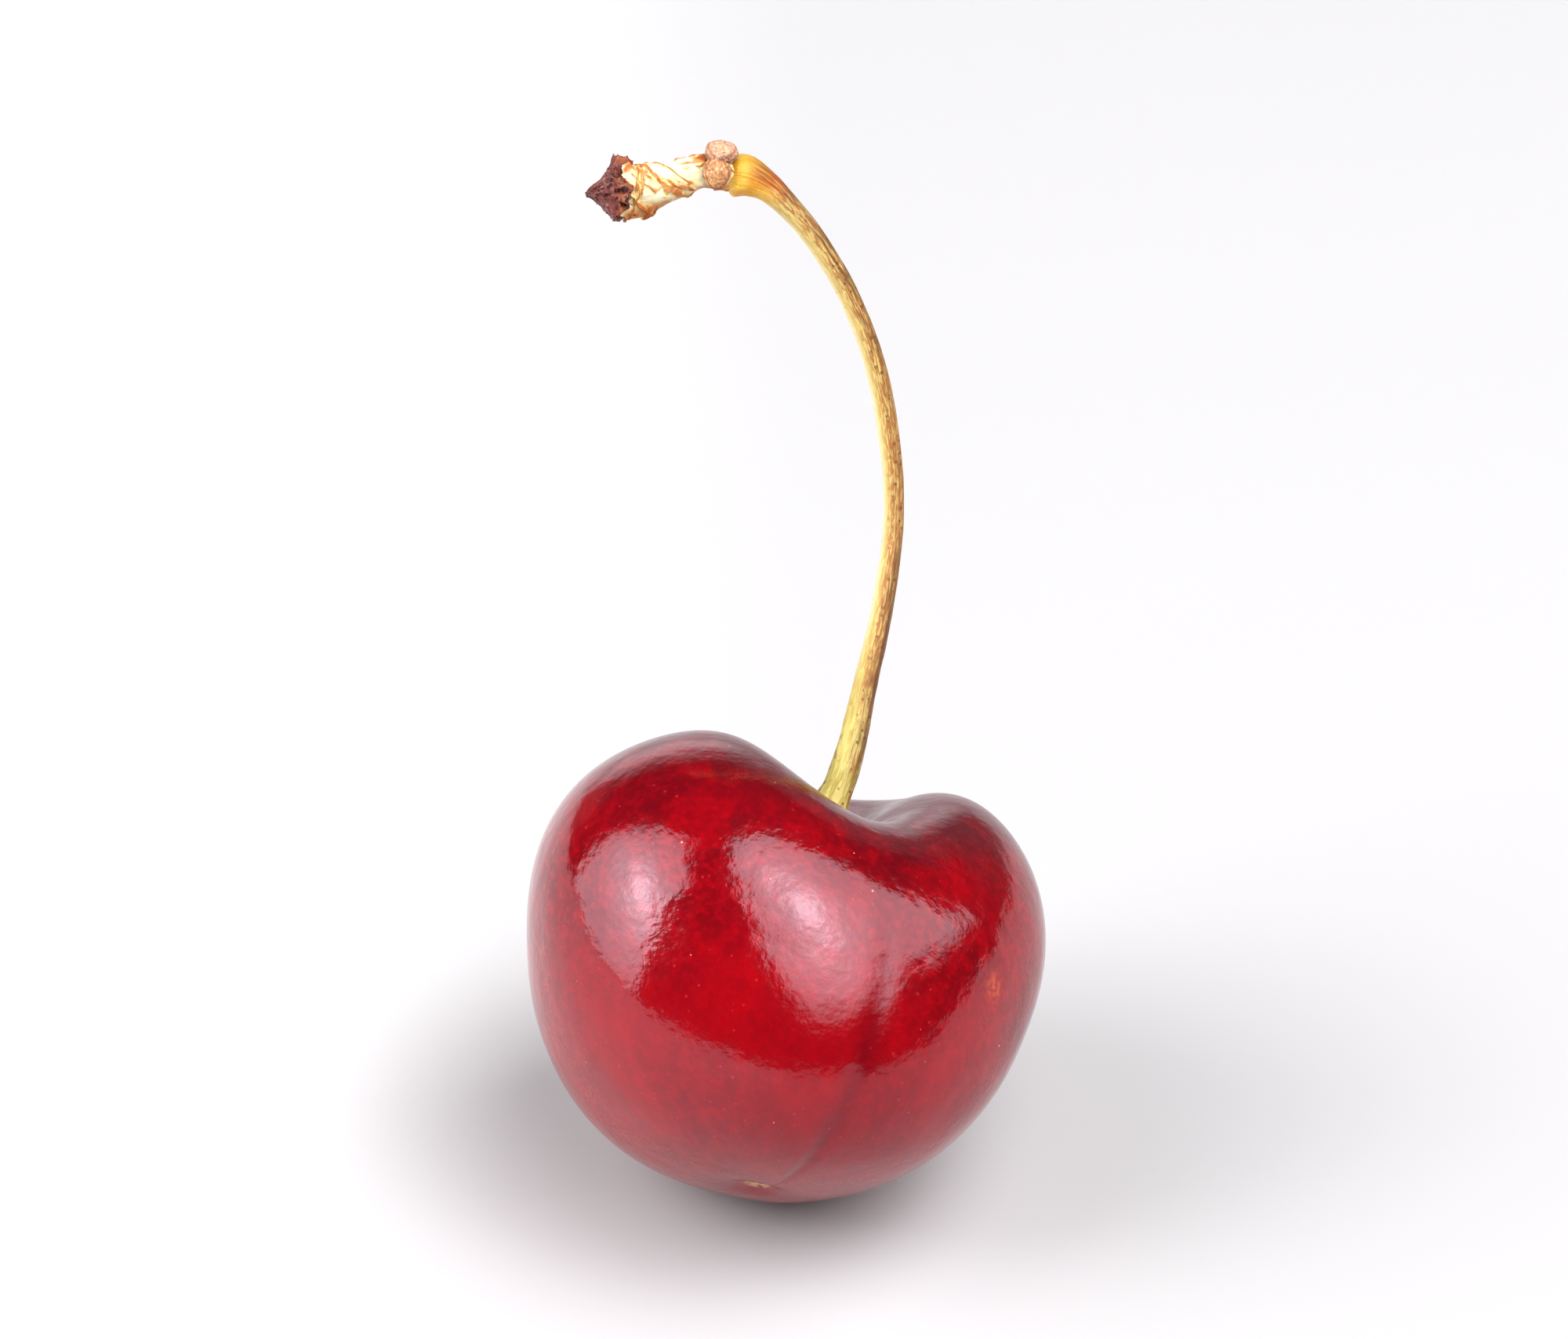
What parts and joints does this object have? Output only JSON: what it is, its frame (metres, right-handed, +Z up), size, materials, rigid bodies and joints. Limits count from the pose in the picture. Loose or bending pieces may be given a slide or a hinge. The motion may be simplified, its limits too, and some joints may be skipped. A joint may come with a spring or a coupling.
{
  "type": "sweet cherry on its stalk",
  "caption": "Heart-shaped glossy cherry with a suture and a stalk in its cavity, ending in a peeled spur with bud scales and a dry tip; it lies on its flank.",
  "frame": {"origin": "middle of the flat spot on the fruit's lower back flank, which it rests on", "axes": "+Z up from the surface it lies on; -Y is the side that shows the suture; +X is the right cheek seen from there, and the stalk leans back to +Y"},
  "size_m": [0.0278, 0.0393, 0.0502],
  "materials": {
    "skin": "waxy crimson to maroon skin with a high gloss, fine paler dots and a soft suture",
    "stalk": "satin yellow-green to tan stalk with brown freckles and fine lengthwise ridges",
    "peeled_spur": "matt pale peeled wood with torn orange-brown ridges",
    "bud_scale": "matt pinkish tan scale with dark specks and a darker edge",
    "dry_bark": "matt dark reddish brown dried bark"
  },
  "bodies": {
    "root": {"fruit": "skin", "stalk": "stalk", "spur": "peeled_spur", "bud_scale_front": "bud_scale", "bud_scale_upper": "bud_scale", "dry_tip": "dry_bark"}
  },
  "joints": []
}
